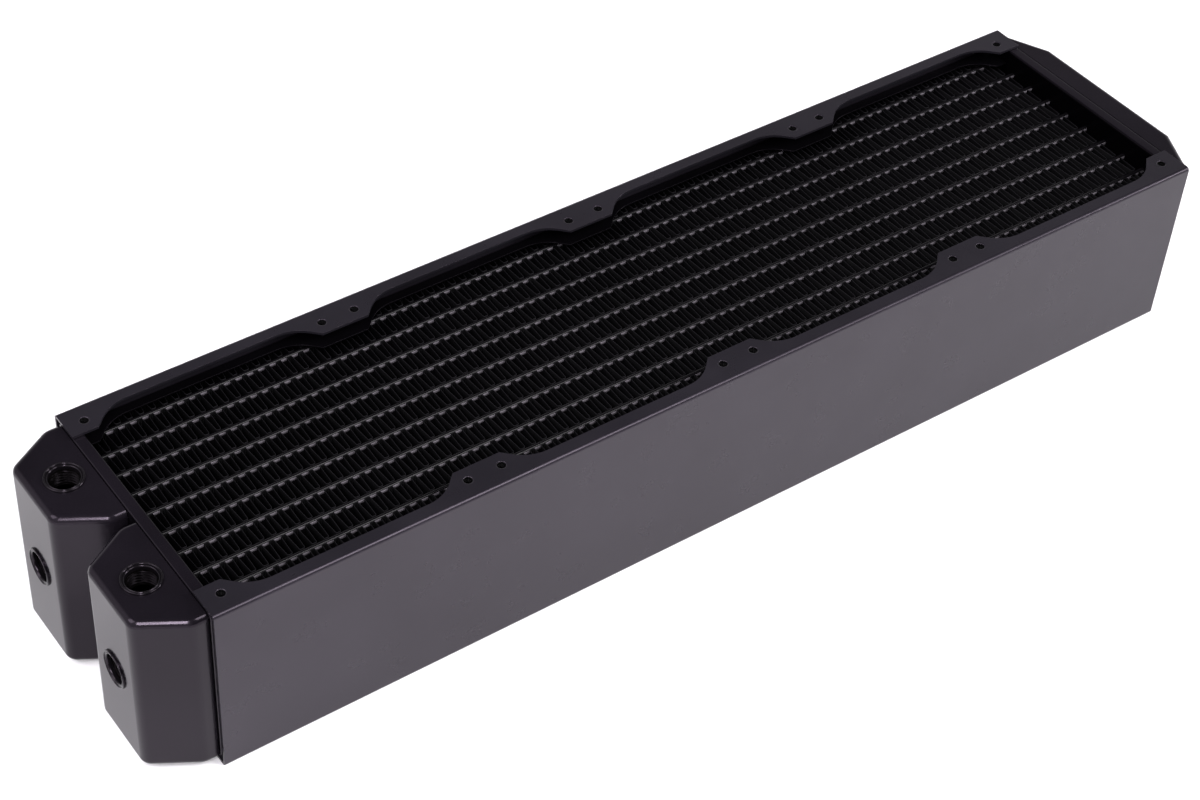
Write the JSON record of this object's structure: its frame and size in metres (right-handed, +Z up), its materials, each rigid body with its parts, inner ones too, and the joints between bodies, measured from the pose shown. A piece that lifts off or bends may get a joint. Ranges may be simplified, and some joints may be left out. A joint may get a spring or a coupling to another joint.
{
  "type": "liquid cooling radiator",
  "caption": "Long black liquid cooling radiator with folded side panels, a core of flat tubes and fins, twin port tanks with threaded ports and a return tank.",
  "frame": {"origin": "middle of the bottom of the whole radiator's box, on the plane of the lower fan faces", "axes": "+X along the length from the port tanks to the return tank, +Y across to the rear side panel, +Z up through the core, the way the air flows"},
  "size_m": [0.519, 0.1232, 0.083],
  "materials": {
    "panel_paint": "satin black paint on folded steel",
    "tank_paint": "satin black paint on drawn brass",
    "core_black": "thin matt black coat on copper fins",
    "tube_black": "thin black coat on brass tube edges",
    "port_plating": "black nickel plating, bright at the thread"
  },
  "bodies": {
    "root": {"side_panel_front": "panel_paint", "side_panel_rear": "panel_paint", "core_channel_front": "core_black", "core_channel_rear": "core_black", "flat_tube_01": "tube_black", "flat_tube_02": "tube_black", "flat_tube_03": "tube_black", "flat_tube_04": "tube_black", "flat_tube_05": "tube_black", "flat_tube_06": "tube_black", "flat_tube_07": "tube_black", "flat_tube_08": "tube_black", "flat_tube_09": "tube_black", "flat_tube_10": "tube_black", "fin_strip_01": "core_black", "fin_strip_02": "core_black", "fin_strip_03": "core_black", "fin_strip_04": "core_black", "fin_strip_05": "core_black", "fin_strip_06": "core_black", "fin_strip_07": "core_black", "fin_strip_08": "core_black", "fin_strip_09": "core_black", "fin_strip_edge_front": "core_black", "fin_strip_edge_rear": "core_black", "header_ports": "tank_paint", "header_return": "tank_paint", "port_tank_front": "tank_paint", "port_tank_rear": "tank_paint", "return_tank": "tank_paint", "port_insert_front_top": "port_plating", "port_insert_front_bottom": "port_plating", "port_insert_front_end": "port_plating", "port_insert_rear_top": "port_plating", "port_insert_rear_bottom": "port_plating", "port_insert_rear_end": "port_plating"}
  },
  "joints": []
}
